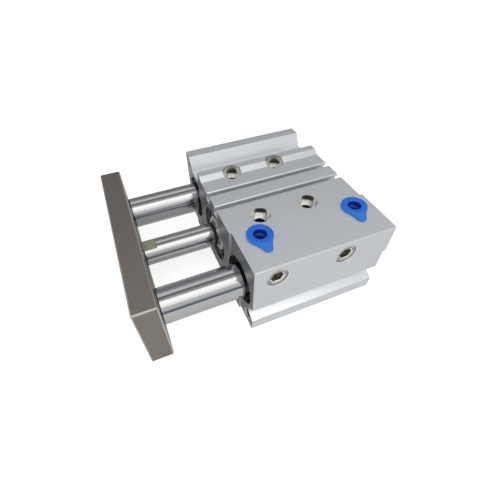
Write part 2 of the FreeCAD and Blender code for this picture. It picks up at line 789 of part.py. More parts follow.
def make_piston_rod():
    """Chromed rod with two spanner flats next to the plate, swaged over behind the piston."""
    radius = dim["rod_radius"]
    neck = 4.5
    profile = threaded_end(radius)
    profile += [
        (piston_front, radius), (piston_front, neck), (piston_rear + 1.4, neck),
        (piston_rear, neck + 1.4), (piston_rear, 0),
    ]
    body = turned_body("piston_rod", profile)
    sketch = new_sketch(body, "spanner_flats_outline", "XZ_Plane", -8)
    for side in (1, -1):
        flat = [(plate_inner - 6.5, 5 * side), (plate_inner + 1, 5 * side)]
        flat += [(plate_inner + 1, 8 * side), (plate_inner - 6.5, 8 * side)]
        draw_outline(sketch, flat)
    pocket(body, "spanner_flats", sketch, 16, reverse=True)
    return body


def make_piston():
    """Piston with a groove for its seal and one for its magnet."""
    outer = dim["bore_radius"] - dim["running_gap"] - 0.02
    hole = 4.5 + dim["static_gap"]
    profile = [
        (piston_front, hole), (piston_front, outer - 0.4), (piston_front - 0.4, outer),
        (piston_front - 1.4, outer), (piston_front - 1.4, outer - 2.2), (piston_front - 4.2, outer - 2.2),
        (piston_front - 4.2, outer), (piston_rear + 3.4, outer), (piston_rear + 3.4, outer - 2.9),
        (piston_rear + 1.2, outer - 2.9), (piston_rear + 1.2, outer), (piston_rear + 0.4, outer),
        (piston_rear, outer - 0.4), (piston_rear, hole + 1.5), (piston_rear + 1.5, hole),
    ]
    return turned_body("piston", profile)


def make_piston_seal():
    """Seal of the piston, with a lip towards each side."""
    outer = dim["bore_radius"] - dim["running_gap"]
    ahead = piston_front - 1.5
    behind = piston_front - 4.1
    profile = [
        (ahead - 0.2, outer - 2.1), (ahead, outer - 0.3), (ahead - 0.5, outer), (ahead - 1.3, outer - 0.8),
        (behind + 0.5, outer), (behind, outer - 0.3), (behind + 0.2, outer - 2.1),
    ]
    return turned_body("piston_seal", profile)


def make_screw(name, aside):
    """Socket head screw that holds a rod to the plate."""
    shank = SCREW["shank"]
    head = SCREW["head"]
    crown = screw_seat + SCREW["head_height"]
    tip = screw_seat - SCREW["length"]
    profile = [
        (crown, 0), (crown, head - 0.5), (crown - 0.5, head), (screw_seat, head), (screw_seat, shank),
        (tip + 0.6, shank), (tip, shank - 0.6), (tip, 0),
    ]
    body = turned_body(name, profile, aside=aside)
    socket = new_sketch(body, f"{name}_socket_outline", "YZ_Plane", crown)
    draw_outline(socket, hexagon_corners(SCREW["socket"]))
    pocket(body, f"{name}_socket", socket, SCREW["socket_depth"])
    return body


def make_carriage():
    """Everything that travels with the plate."""
    make_tooling_plate()
    make_guide_rod("guide_rod_left", guide_offset)
    make_guide_rod("guide_rod_right", -guide_offset)
    make_piston_rod()
    make_piston()
    make_piston_seal()
    groove_floor = dim["bore_radius"] - dim["running_gap"] - 2.92
    make_flat_ring("piston_magnet", piston_rear + 3.35, 2.1, groove_floor + 0.1, groove_floor + 2.6, None)
    make_flat_ring("front_bumper", piston_front + 1.8, 1.8, dim["rod_radius"] + 0.3, 9.8, None)
    make_flat_ring("rear_bumper", piston_rear, 3, 3, 9.5, None)
    make_screw("guide_rod_screw_left", guide_offset)
    make_screw("guide_rod_screw_right", -guide_offset)
    make_screw("piston_rod_screw", None)


# ---------------------------------------------------------------------------------------------
# Build, check and write
# ---------------------------------------------------------------------------------------------

CUTTING = ("PartDesign::Pocket", "PartDesign::Groove", "PartDesign::Hole")


def check_document():
    """Stop if any object failed, or if a cut took nothing away."""
    for item in doc.Objects:
        if "Invalid" in item.State or "Error" in item.State:
            raise RuntimeError(f"{item.Name} failed: {item.State}")
        if item.TypeId in CUTTING and item.BaseFeature.Shape.Volume - item.Shape.Volume < 0.1:
            raise RuntimeError(f"{item.Name} cut nothing")


def write_parts():
    """Write each body to its own STEP file."""
    for item in doc.Objects:
        if item.TypeId != "PartDesign::Body":
            continue
        shape = item.Shape
        if shape.isNull() or not shape.isValid() or len(shape.Solids) != 1:
            raise RuntimeError(f"{item.Label} is not one sound solid")
        shape.exportStep(f"parts/{item.Label}.step")
        box = shape.BoundBox
        print(f"{item.Label}: {shape.Volume:.0f} mm3, x {box.XMin:.2f} to {box.XMax:.2f}")


make_cylinder_body()
make_bore_fittings()
make_guides()
make_port_closures()
make_carriage()
doc.recompute()
check_document()
write_parts()
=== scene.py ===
import math

import bmesh
import bpy
from mathutils import Matrix, Vector


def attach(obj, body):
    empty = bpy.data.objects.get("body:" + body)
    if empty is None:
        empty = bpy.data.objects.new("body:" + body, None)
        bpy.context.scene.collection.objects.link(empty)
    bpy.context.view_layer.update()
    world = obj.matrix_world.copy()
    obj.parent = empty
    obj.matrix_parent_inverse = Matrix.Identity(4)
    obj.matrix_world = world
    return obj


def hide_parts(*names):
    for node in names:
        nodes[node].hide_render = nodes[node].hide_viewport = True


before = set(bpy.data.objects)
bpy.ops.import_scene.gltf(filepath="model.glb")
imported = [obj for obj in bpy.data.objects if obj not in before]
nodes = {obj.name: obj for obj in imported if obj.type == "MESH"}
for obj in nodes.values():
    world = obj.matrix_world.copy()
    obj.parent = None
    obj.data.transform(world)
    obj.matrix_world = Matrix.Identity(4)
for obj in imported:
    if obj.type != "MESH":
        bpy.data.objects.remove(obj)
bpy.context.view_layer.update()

# --- Camera -------------------------------------------------------------------------------
# Close above the corner between the port side and the plate, with a wide lens.
# It leans by a degree, and the shift sets the cylinder where it lies in the frame.
eye = Vector((0.06125, 0.11275, 0.13892))
aim = Vector((0.02247, 0.01411, 0.021))
lean = math.radians(0.95)
lens = bpy.data.cameras.new("camera")
lens.lens = 24.24
lens.sensor_width = 36
lens.shift_x = 0.0074
lens.shift_y = 0.0182
lens.clip_start = 0.005
camera = bpy.data.objects.new("camera", lens)
camera.matrix_world = (
    Matrix.Translation(eye)
    @ (aim - eye).to_track_quat("-Z", "Y").to_matrix().to_4x4()
    @ Matrix.Rotation(-lean, 4, "Z")
)
bpy.context.scene.collection.objects.link(camera)
bpy.context.scene.camera = camera
bpy.context.scene.view_settings.view_transform = "Standard"

# --- Floor --------------------------------------------------------------------------------
# A matt white sheet that the cylinder lies on. It shows white and keeps the shadow.
glow_when_seen = 0.75
glow_in_steel = 0.2
floor_mesh = bpy.data.meshes.new("floor")
sheet = bmesh.new()
bmesh.ops.create_grid(sheet, x_segments=1, y_segments=1, size=3)
sheet.to_mesh(floor_mesh)
sheet.free()
floor = bpy.data.objects.new("floor", floor_mesh)
bpy.context.scene.collection.objects.link(floor)

floor_paint = bpy.data.materials.new("floor_paint")
floor_paint.use_nodes = True
tree = floor_paint.node_tree
shader = tree.nodes["Principled BSDF"]
shader.inputs["Base Color"].default_value = (0.8, 0.8, 0.8, 1)
shader.inputs["Roughness"].default_value = 0.9
shader.inputs["Specular IOR Level"].default_value = 0
shader.inputs["Emission Color"].default_value = (1, 1, 1, 1)
rays = tree.nodes.new("ShaderNodeLightPath")
mirrored = tree.nodes.new("ShaderNodeMath")
mirrored.operation = "MAXIMUM"
tree.links.new(rays.outputs["Is Glossy Ray"], mirrored.inputs[0])
tree.links.new(rays.outputs["Is Transmission Ray"], mirrored.inputs[1])
mirrored_glow = tree.nodes.new("ShaderNodeMath")
mirrored_glow.operation = "MULTIPLY"
mirrored_glow.inputs[1].default_value = glow_in_steel
tree.links.new(mirrored.outputs[0], mirrored_glow.inputs[0])
seen_glow = tree.nodes.new("ShaderNodeMath")
seen_glow.operation = "MULTIPLY"
seen_glow.inputs[1].default_value = glow_when_seen
tree.links.new(rays.outputs["Is Camera Ray"], seen_glow.inputs[0])
glow = tree.nodes.new("ShaderNodeMath")
glow.operation = "ADD"
tree.links.new(mirrored_glow.outputs[0], glow.inputs[0])
tree.links.new(seen_glow.outputs[0], glow.inputs[1])
tree.links.new(glow.outputs[0], shader.inputs["Emission Strength"])
floor_mesh.materials.append(floor_paint)

# --- Room and lamp ------------------------------------------------------------------------
# A white room whose walls and window stand in bands about the cylinder, and one broad soft
# lamp. Polished steel mirrors the bands as long stripes.
# Each band is (degrees up from +Y, light, warmth).
bands = [
    (0, 0.14, -2), (6, 0.14, -2), (13, 0.32, -1.5), (25, 0.82, -0.5), (32, 0.78, 0.5),
    (41, 0.38, 1.2), (48, 0.42, 0.8), (60, 0.7, 0.2), (65, 0.85, 0), (76, 0.7, 0),
    (86, 0.5, 0), (95, 0.36, 0.5), (100, 0.18, 0.8), (107, 0.18, 0.8), (113, 0.76, 0),
    (120, 0.84, 0), (128, 0.7, -0.3), (136, 0.42, -0.5), (146, 0.26, -0.6), (180, 0.24, -0.6),
]
redder = 0.03
less_blue = 0.08
room = bpy.data.worlds.new("room")
bpy.context.scene.world = room
room.use_nodes = True
tree = room.node_tree
tree.nodes.clear()
direction = tree.nodes.new("ShaderNodeTexCoord")
split = tree.nodes.new("ShaderNodeSeparateXYZ")
tree.links.new(direction.outputs["Generated"], split.inputs[0])
angle_up = tree.nodes.new("ShaderNodeMath")
angle_up.operation = "ARCTAN2"
tree.links.new(split.outputs["Z"], angle_up.inputs[0])
tree.links.new(split.outputs["Y"], angle_up.inputs[1])
half_turns = tree.nodes.new("ShaderNodeMath")
half_turns.operation = "DIVIDE"
half_turns.inputs[1].default_value = math.pi
tree.links.new(angle_up.outputs[0], half_turns.inputs[0])
walls = tree.nodes.new("ShaderNodeValToRGB")
tree.links.new(half_turns.outputs[0], walls.inputs[0])
while len(walls.color_ramp.elements) < len(bands):
    walls.color_ramp.elements.new(0.5)
for stop, (degrees, light, warmth) in zip(walls.color_ramp.elements, bands):
    stop.position = degrees / 180
    stop.color = (light * (1 + redder * warmth), light, light * (1 - less_blue * warmth), 1)
wall_light = tree.nodes.new("ShaderNodeBackground")
tree.links.new(walls.outputs[0], wall_light.inputs["Color"])
white_light = tree.nodes.new("ShaderNodeBackground")
white_light.inputs["Color"].default_value = (1, 1, 1, 1)
rays = tree.nodes.new("ShaderNodeLightPath")
choice = tree.nodes.new("ShaderNodeMixShader")
tree.links.new(rays.outputs["Is Camera Ray"], choice.inputs[0])
tree.links.new(wall_light.outputs[0], choice.inputs[1])
tree.links.new(white_light.outputs[0], choice.inputs[2])
room_out = tree.nodes.new("ShaderNodeOutputWorld")
tree.links.new(choice.outputs[0], room_out.inputs["Surface"])

lamp_light = bpy.data.lights.new("softbox", "AREA")
lamp_light.shape = "RECTANGLE"
lamp_light.size = 1.2
lamp_light.size_y = 0.8
lamp_light.color = (1, 0.975, 0.94)
lamp_light.energy = 2.9
softbox = bpy.data.objects.new("softbox", lamp_light)
softbox.location = (0.1, 0.55, 0.95)
to_cylinder = Vector((0, 0, 0.02)) - softbox.location
softbox.rotation_euler = to_cylinder.to_track_quat("-Z", "Y").to_euler()
bpy.context.scene.collection.objects.link(softbox)


# --- Extruded body ------------------------------------------------------------------------
# Aluminium extrusion, sawn off, milled at both ends, bored and drilled, then etched and clear
# anodised as a whole. The skin is finely pitted and keeps faint lines from the die along X.
def new_effect(name, inputs, outputs):
    """Empty shader group with named sockets, and the nodes at its two ends."""
    effect = bpy.data.node_groups.new(name, "ShaderNodeTree")
    for label, kind in inputs:
        effect.interface.new_socket(label, in_out="INPUT", socket_type=kind)
    for label in outputs:
        effect.interface.new_socket(label, in_out="OUTPUT", socket_type="NodeSocketFloat")
    return effect, effect.nodes.new("NodeGroupInput"), effect.nodes.new("NodeGroupOutput")


def shade_from(effect, height, given, end):
    """Turn a height from 0 to 1 into a shade about 1, as strong as the Contrast input says."""
    centred = effect.nodes.new("ShaderNodeMath")
    centred.operation = "SUBTRACT"
    centred.inputs[1].default_value = 0.5
    effect.links.new(height, centred.inputs[0])
    shade = effect.nodes.new("ShaderNodeMath")
    shade.operation = "MULTIPLY_ADD"
    shade.inputs[2].default_value = 1
    effect.links.new(centred.outputs[0], shade.inputs[0])
    effect.links.new(given.outputs["Contrast"], shade.inputs[1])
    effect.links.new(shade.outputs[0], end.inputs["Shade"])
    effect.links.new(height, end.inputs["Height"])


# Pits and grains of an etched, blasted or sintered surface.
grain, given, end = new_effect(
    "grain",
    [("Grains per metre", "NodeSocketFloat"), ("Contrast", "NodeSocketFloat")],
    ["Shade", "Height"],
)
place = grain.nodes.new("ShaderNodeTexCoord")
pits = grain.nodes.new("ShaderNodeTexNoise")
pits.inputs["Detail"].default_value = 3
pits.inputs["Roughness"].default_value = 0.65
grain.links.new(place.outputs["Object"], pits.inputs["Vector"])
grain.links.new(given.outputs["Grains per metre"], pits.inputs["Scale"])
shade_from(grain, pits.outputs["Fac"], given, end)

# Straight lines of a die, a mill or a grinding wheel: the lines lie across the axes that
# have a number, so a number on X alone gives rings about a rod.
lines, given, end = new_effect(
    "lines",
    [("Lines per metre", "NodeSocketVector"), ("Contrast", "NodeSocketFloat")],
    ["Shade", "Height"],
)
place = lines.nodes.new("ShaderNodeTexCoord")
spread = lines.nodes.new("ShaderNodeVectorMath")
spread.operation = "MULTIPLY"
lines.links.new(place.outputs["Object"], spread.inputs[0])
lines.links.new(given.outputs["Lines per metre"], spread.inputs[1])
strokes = lines.nodes.new("ShaderNodeTexNoise")
strokes.inputs["Scale"].default_value = 1
strokes.inputs["Detail"].default_value = 2
lines.links.new(spread.outputs[0], strokes.inputs["Vector"])
shade_from(lines, strokes.outputs["Fac"], given, end)

# Rings that a turning tool leaves on a flat face, about the axis through Centre. Across is 1
# on the two axes that lie in the face. The pattern is mirrored about the origin, so one group
# serves the four bolt seats, or the left and the right rod.
rings, given, end = new_effect(
    "rings",
    [("Centre", "NodeSocketVector"), ("Across", "NodeSocketVector"),
     ("Rings per metre", "NodeSocketFloat"), ("Contrast", "NodeSocketFloat")],
    ["Shade", "Height"],
)
place = rings.nodes.new("ShaderNodeTexCoord")
folded = rings.nodes.new("ShaderNodeVectorMath")
folded.operation = "ABSOLUTE"
rings.links.new(place.outputs["Object"], folded.inputs[0])
from_centre = rings.nodes.new("ShaderNodeVectorMath")
from_centre.operation = "SUBTRACT"
rings.links.new(folded.outputs[0], from_centre.inputs[0])
rings.links.new(given.outputs["Centre"], from_centre.inputs[1])
in_face = rings.nodes.new("ShaderNodeVectorMath")
in_face.operation = "MULTIPLY"
rings.links.new(from_centre.outputs[0], in_face.inputs[0])
rings.links.new(given.outputs["Across"], in_face.inputs[1])
radius = rings.nodes.new("ShaderNodeVectorMath")
radius.operation = "LENGTH"
rings.links.new(in_face.outputs[0], radius.inputs[0])
turns = rings.nodes.new("ShaderNodeMath")
turns.operation = "MULTIPLY"
rings.links.new(radius.outputs["Value"], turns.inputs[0])
rings.links.new(given.outputs["Rings per metre"], turns.inputs[1])
cuts = rings.nodes.new("ShaderNodeTexNoise")
cuts.noise_dimensions = "1D"
cuts.inputs["Scale"].default_value = 1
cuts.inputs["Detail"].default_value = 1
rings.links.new(turns.outputs[0], cuts.inputs["W"])
shade_from(rings, cuts.outputs["Fac"], given, end)


def new_finish(name, colour, roughness, metallic, marks):
    """Material with the marks of its making: each is (effect, its inputs, depth in metres).

    The last mark also varies the gloss by 15 %.
    """
    finish = bpy.data.materials.new(name)
    finish.use_nodes = True
    tree = finish.node_tree
    shader = tree.nodes["Principled BSDF"]
    shader.inputs["Metallic"].default_value = metallic
    shade_source = None
    normal_source = None
    for effect, amounts, depth in marks:
        marked = tree.nodes.new("ShaderNodeGroup")
        marked.node_tree = effect
        for label, amount in amounts.items():
            marked.inputs[label].default_value = amount
        tint = tree.nodes.new("ShaderNodeMix")
        tint.data_type = "RGBA"
        tint.blend_type = "MULTIPLY"
        tint.inputs["Factor"].default_value = 1
        tint.inputs[6].default_value = (*colour, 1)
        if shade_source:
            tree.links.new(shade_source, tint.inputs[6])
        tree.links.new(marked.outputs["Shade"], tint.inputs[7])
        shade_source = tint.outputs[2]
        relief = tree.nodes.new("ShaderNodeBump")
        relief.inputs["Distance"].default_value = depth
        tree.links.new(marked.outputs["Height"], relief.inputs["Height"])
        if normal_source:
            tree.links.new(normal_source, relief.inputs["Normal"])
        normal_source = relief.outputs["Normal"]
    gloss = tree.nodes.new("ShaderNodeMapRange")
    gloss.inputs["To Min"].default_value = roughness * 0.85
    gloss.inputs["To Max"].default_value = roughness * 1.15
    tree.links.new(marked.outputs["Height"], gloss.inputs["Value"])
    tree.links.new(gloss.outputs[0], shader.inputs["Roughness"])
    tree.links.new(shade_source, shader.inputs["Base Color"])
    tree.links.new(normal_source, shader.inputs["Normal"])
    return finish


def copy_of(name):
    """Mesh of a solid, its loose triangles joined into whole faces."""
    shape = bmesh.new()
    shape.from_mesh(nodes[name].data)
    bmesh.ops.remove_doubles(shape, verts=shape.verts, dist=1e-6)
    nearly_flat = math.radians(0.5)
    bmesh.ops.dissolve_limit(
        shape, angle_limit=nearly_flat, verts=shape.verts, edges=shape.edges
    )
    for face in shape.faces:
        face.material_index = 0
    return shape


def ease(shape, edges, size, segments, finish=None):
    """Round some edges, and give the new faces a finish of their own if one is named."""
    rounded = bmesh.ops.bevel(
        shape, geom=edges, offset=size, offset_type="OFFSET", affect="EDGES", segments=segments,
        profile=0.5, material=-1, clamp_overlap=False,
    )
    if finish is not None:
        for face in rounded["faces"]:
            face.material_index = finish


def sharp_edges(shape):
    """Edges that turn by more than 25 degrees."""
    least_turn = math.radians(25)
    return [edge for edge in shape.edges if edge.calc_face_angle(0) > least_turn]


def put_in_place(shape, name, stands_for, rides_on, finishes):
    """Make the finished object, on its body and in place of its solid."""
    mesh = bpy.data.meshes.new(name)
    shape.to_mesh(mesh)
    shape.free()
    mesh.shade_smooth()
    mesh.set_sharp_from_angle(angle=math.radians(24))
    for finish in finishes:
        mesh.materials.append(finish)
    piece = bpy.data.objects.new(name, mesh)
    bpy.context.scene.collection.objects.link(piece)
    flat_faces = piece.modifiers.new("flat_faces", "WEIGHTED_NORMAL")
    flat_faces.keep_sharp = True
    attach(piece, rides_on)
    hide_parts(stands_for)


# Places in a piece's list of finishes: its eased edges, and the turns of its threads.
edge_place = 1
thread_place = 4


def tap(shape, across, height, mouth, floor, through=False):
    """Ease a drilled hole of 5 mm at its mouth and cut the turns of an M6 thread in its wall."""
    drilled = 0.0025
    root = 0.0029
    pitch = 0.001
    chamfer = 0.00045
    inward = 1 if floor > mouth else -1

    def off_axis(point):
        return math.hypot(point.y - across, point.z - height)

    ends = [mouth, floor] if through else [mouth]
    rims = []
    for edge in shape.edges:
        on_wall = all(abs(off_axis(vert.co) - drilled) < 2e-5 for vert in edge.verts)
        at_end = any(all(abs(vert.co.x - end) < 2e-5 for vert in edge.verts) for end in ends)
        if on_wall and at_end:
            rims.append(edge)
    ease(shape, rims, chamfer, 1, edge_place)
    walls = []
    for face in shape.faces:
        middle = face.calc_center_median()
        between = min(mouth, floor) < middle.x < max(mouth, floor)
        if between and abs(face.normal.x) < 0.2 and off_axis(middle) < drilled + 1e-5:
            walls.append(face)
    bmesh.ops.delete(shape, geom=walls, context="FACES")
    rim = [
        edge for edge in shape.edges
        if edge.is_boundary and abs(edge.verts[0].co.x - mouth - inward * chamfer) < 1e-4
        and off_axis(edge.verts[0].co) < drilled + 1e-4
    ]
    length = abs(floor - mouth) - chamfer * (2 if through else 1)
    turns = int(length / pitch)
    lead_out = length - turns * pitch
    steps = [(pitch / 2, root / drilled), (pitch / 2, drilled / root)] * turns + [(lead_out, 1)]
    about_axis = Matrix.Translation((0, -across, -height))
    for along, growth in steps:
        grown = bmesh.ops.extrude_edge_only(shape, edges=rim)["geom"]
        edge_verts = [item for item in grown if isinstance(item, bmesh.types.BMVert)]
        far_side = set(edge_verts)
        rim = [
            item for item in grown
            if isinstance(item, bmesh.types.BMEdge) and far_side.issuperset(item.verts)
        ]
        for item in grown:
            if isinstance(item, bmesh.types.BMFace):
                item.material_index = thread_place
        bmesh.ops.translate(shape, vec=(inward * along, 0, 0), verts=edge_verts)
        bmesh.ops.scale(shape, vec=(1, growth, growth), space=about_axis, verts=edge_verts)
    near = [vert for vert in shape.verts if off_axis(vert.co) < 0.003]
    bmesh.ops.remove_doubles(shape, verts=near, dist=3e-5)


anodised_skin = new_finish("anodised_skin", (0.75, 0.775, 0.805), 0.4, 0.75, [
    (lines, {"Lines per metre": (3, 1500, 1500), "Contrast": 0.06}, 1e-6),
    (grain, {"Grains per metre": 2600, "Contrast": 0.65}, 1.6e-5),
])
# Eased edges of the body and the covers are painted almost white, a painted highlight along
# every edge.
painted_edge_highlight = new_finish("painted_edge_highlight", (0.92, 0.93, 0.94), 0.35, 0.6, [
    (grain, {"Grains per metre": 3000, "Contrast": 0.15}, 2e-6),
])
# Milled end faces are the same anodised metal, painted dark for the shade that falls on the
# ends.
milled_end_painted_shade = new_finish("milled_end_painted_shade", (0.25, 0.26, 0.275), 0.42, 0.8, [
    (grain, {"Grains per metre": 1500, "Contrast": 0.15}, 2e-6),
    (lines, {"Lines per metre": (0, 4500, 60), "Contrast": 0.12}, 4e-6),
])
bolt_along, bolt_aside = 0.012, 0.017
bored_seat = new_finish("bored_seat", (0.8, 0.8, 0.79), 0.2, 0.95, [
    (lines, {"Lines per metre": (500, 500, 1400), "Contrast": 0.5}, 1.2e-5),
    (rings, {"Centre": (bolt_along, bolt_aside, 0), "Across": (1, 1, 0), "Rings per metre": 5000,
             "Contrast": 0.2}, 3e-6),
])
# Walls of the drilled holes are painted near black for the shade deep inside them.
drill_wall_painted_shade = new_finish("drill_wall_painted_shade", (0.05, 0.045, 0.04), 0.5, 0.6, [
    (lines, {"Lines per metre": (600, 600, 3000), "Contrast": 0.3}, 8e-6),
])
cut_thread = new_finish("cut_thread", (0.5, 0.5, 0.5), 0.28, 0.9, [
    (grain, {"Grains per metre": 3000, "Contrast": 0.3}, 4e-6),
])
# Walls of the side grooves and the channel are the same skin, painted lighter for the light that
# they catch.
groove_skin_painted_light = new_finish("groove_skin_painted_light", (0.9, 0.925, 0.97), 0.32, 0.7, [
    (lines, {"Lines per metre": (3, 1500, 1500), "Contrast": 0.05}, 1e-6),
    (grain, {"Grains per metre": 2400, "Contrast": 0.15}, 5e-6),
])
honed_bore = new_finish("honed_bore", (0.4, 0.4, 0.41), 0.2, 0.9, [
    (lines, {"Lines per metre": (9000, 0, 0), "Contrast": 0.1}, 2e-6),
])

body_finishes = [
    anodised_skin, painted_edge_highlight, milled_end_painted_shade, bored_seat, cut_thread, honed_bore, groove_skin_painted_light,
    drill_wall_painted_shade,
]

# Each face takes its finish from how it was cut; the end faces, drilled walls and grooves also
# take painted shade or painted light.
# The sizes in these tests lie 0.1 mm or more beside the faces that they tell apart.
axis_height = 0.021
rod_aside = 0.032
block = copy_of("cylinder_body")
for face in block.faces:
    middle = face.calc_center_median()
    upright = abs(face.normal.z) < 0.3
    milled = abs(face.normal.x) > 0.7 and (middle.x > 0.0279 or middle.x < -0.0371)
    to_bolt = math.hypot(abs(middle.x) - bolt_along, abs(middle.y) - bolt_aside)
    in_seat = to_bolt < 0.0049 and middle.z > 0.0374 and (upright or middle.z < 0.0376)
    to_axis = math.hypot(
        min(abs(middle.y), abs(abs(middle.y) - rod_aside)), middle.z - axis_height
    )
    in_bore = to_axis < 0.0145 and abs(middle.y) < 0.043
    in_side_groove = abs(middle.y) > 0.0422 and 0.0069 < middle.z < 0.0159
    in_channel = -0.04 < middle.y < -0.0223 and 0.033 < middle.z < 0.042
    on_eased_corner = abs(middle.y) > 0.0459 and 0.2 < abs(face.normal.z) < 0.98
    if milled:
        face.material_index = body_finishes.index(milled_end_painted_shade)
    elif in_seat:
        face.material_index = body_finishes.index(bored_seat)
    elif to_bolt < 0.0029 and upright:
        face.material_index = body_finishes.index(drill_wall_painted_shade)
    elif abs(face.normal.x) > 0.02 or in_bore:
        face.material_index = body_finishes.index(honed_bore)
    elif in_side_groove or in_channel:
        face.material_index = body_finishes.index(groove_skin_painted_light)
    # The eased corners take the painted edge highlight.
    elif on_eased_corner:
        face.material_index = edge_place

# The mouths of the side ports are eased more than the other edges.
side_ports = (0.0175, -0.015)
side_port_height = 0.0345
side_port_radius = 0.00486
for port_x in side_ports:
    mouth_edges = [
        edge for edge in block.edges
        if all(
            abs(vert.co.y - 0.0465) < 2e-5
            and abs(
                math.hypot(vert.co.x - port_x, vert.co.z - side_port_height) - side_port_radius
            ) < 2e-5
            for vert in edge.verts
        )
    ]
    ease(block, mouth_edges, 0.00035, 2, edge_place)

# The threads in both end faces, each (place across, height, place of its mouth along X).
front_threads = [(0.041, 0.0055, 0.028), (-0.041, 0.0055, 0.028), (-0.041, 0.036, 0.028)]
rear_threads = [
    (0.041, 0.0045, -0.0372), (-0.041, 0.0045, -0.0372),
    (0.041, 0.0375, -0.0385), (-0.041, 0.0375, -0.0385),
]


def by_thread(edge):
    """Whether an edge is part of a hole that is going to be tapped."""
    return any(
        math.hypot(edge.verts[0].co.y - across, edge.verts[0].co.z - height) < 0.0027
        for across, height, mouth in front_threads + rear_threads
    )


broken_edges = [edge for edge in sharp_edges(block) if not by_thread(edge)]
ease(block, broken_edges, 0.00012, 2, edge_place)
front_thread_floor = 0.016
rear_thread_floor = -0.0255
for across, height, mouth in front_threads:
    tap(block, across, height, mouth, front_thread_floor)
for across, height, mouth in rear_threads:
    tap(block, across, height, mouth, rear_thread_floor)
put_in_place(
    block, "machined_body", "cylinder_body", "cylinder", body_finishes
)

# --- Covers of the bore -------------------------------------------------------------------
# Two discs turned from aluminium bar, one with a boss that the piston rod runs through, and
# the piston, turned from the same bar. Their faces keep the rings of the turning tool.
turned_cover = new_finish("turned_cover", (0.6, 0.6, 0.61), 0.32, 0.8, [
    (rings, {"Centre": (0, 0, axis_height), "Across": (0, 1, 1), "Rings per metre": 6000,
             "Contrast": 0.25}, 5e-6),
])
for name in ("rod_cover", "head_cover"):
    disc = copy_of(name)
    ease(disc, sharp_edges(disc), 0.00012, 2, edge_place)
    put_in_place(
        disc, f"turned_{name}", name, "cylinder", [turned_cover, painted_edge_highlight]
    )


def finish_solids(names, finish):
    """Give solids whose shape needs no more work their finish."""
    for name in names:
        nodes[name].data.materials.clear()
        nodes[name].data.materials.append(finish)


finish_solids(["piston"], turned_cover)

# --- Seals and bumpers --------------------------------------------------------------------
# Moulded nitrile rubber seals and O-rings, matt with a little bloom, and two cast
# polyurethane rings that stop the piston without a knock.
seal_rubber = new_finish("seal_rubber", (0.022, 0.022, 0.023), 0.55, 0, [
    (grain, {"Grains per metre": 1800, "Contrast": 0.6}, 6e-6),
])
cast_urethane = new_finish("cast_urethane", (0.42, 0.24, 0.07), 0.42, 0, [
    (grain, {"Grains per metre": 500, "Contrast": 0.25}, 4e-6),
])
finish_solids(
    ["rod_seal", "rod_cover_gasket", "head_cover_gasket", "piston_seal"], seal_rubber
)
finish_solids(["front_bumper", "rear_bumper"], cast_urethane)

# --- Retaining rings ----------------------------------------------------------------------
# Rings stamped from spring steel strip, with two drilled ears, phosphated to a dark grey.
# Stamping rolls their edges over a little.
phosphated_steel = new_finish("phosphated_steel", (0.13, 0.13, 0.135), 0.42, 0.8, [
    (grain, {"Grains per metre": 5000, "Contrast": 0.4}, 5e-6),
])
# The eased edges are given a lighter steel than the faces.
lighter_edge_steel = new_finish("lighter_edge_steel", (0.34, 0.34, 0.34), 0.3, 0.9, [
    (grain, {"Grains per metre": 4000, "Contrast": 0.3}, 2e-6),
])
eared_rings = [
    "front_retaining_ring", "rear_retaining_ring",
    "guide_retaining_ring_left", "guide_retaining_ring_right",
]
for name in eared_rings:
    stamping = copy_of(name)
    bmesh.ops.triangulate(stamping, faces=stamping.faces)
    ease(stamping, sharp_edges(stamping), 0.00006, 2, edge_place)
    put_in_place(
        stamping, f"stamped_{name}", name, "cylinder",
        [phosphated_steel, lighter_edge_steel],
    )

# --- Guides of the rods -------------------------------------------------------------------
# Sintered bronze bushes, pressed in and soaked with oil. In front of each pair sits a felt
# that wipes the rod, in a ring pressed from bright steel.
sintered_bronze = new_finish("sintered_bronze", (0.42, 0.27, 0.12), 0.36, 0.85, [
    (grain, {"Grains per metre": 6000, "Contrast": 0.7}, 1e-5),
])
oiled_felt = new_finish("oiled_felt", (0.05, 0.046, 0.04), 0.95, 0, [
    (lines, {"Lines per metre": (2500, 900, 5000), "Contrast": 0.8}, 4e-5),
    (grain, {"Grains per metre": 4000, "Contrast": 0.9}, 6e-5),
])
pressed_steel = new_finish("pressed_steel", (0.38, 0.38, 0.38), 0.32, 0.9, [
    (rings, {"Centre": (0, rod_aside, axis_height), "Across": (0, 1, 1),
             "Rings per metre": 3000, "Contrast": 0.15}, 2e-6),
])
finish_solids(
    ["guide_bush_front_left", "guide_bush_front_right",
     "guide_bush_rear_left", "guide_bush_rear_right"],
    sintered_bronze,
)
finish_solids(["felt_ring_left", "felt_ring_right"], oiled_felt)
finish_solids(["felt_holder_left", "felt_holder_right"], pressed_steel)

# --- Side port plugs ----------------------------------------------------------------------
# Pipe plugs with a 5 mm hexagon socket, turned from brass and nickel plated bright.
# The rim and the corners of the socket are rounded by the plating.
bright_nickel = new_finish("bright_nickel", (0.8, 0.79, 0.75), 0.18, 1, [
    (grain, {"Grains per metre": 1200, "Contrast": 0.2}, 6e-6),
])
turned_nickel = new_finish("turned_nickel", (0.35, 0.36, 0.36), 0.25, 1, [
    (lines, {"Lines per metre": (1500, 0, 1500), "Contrast": 0.4}, 4e-6),
])
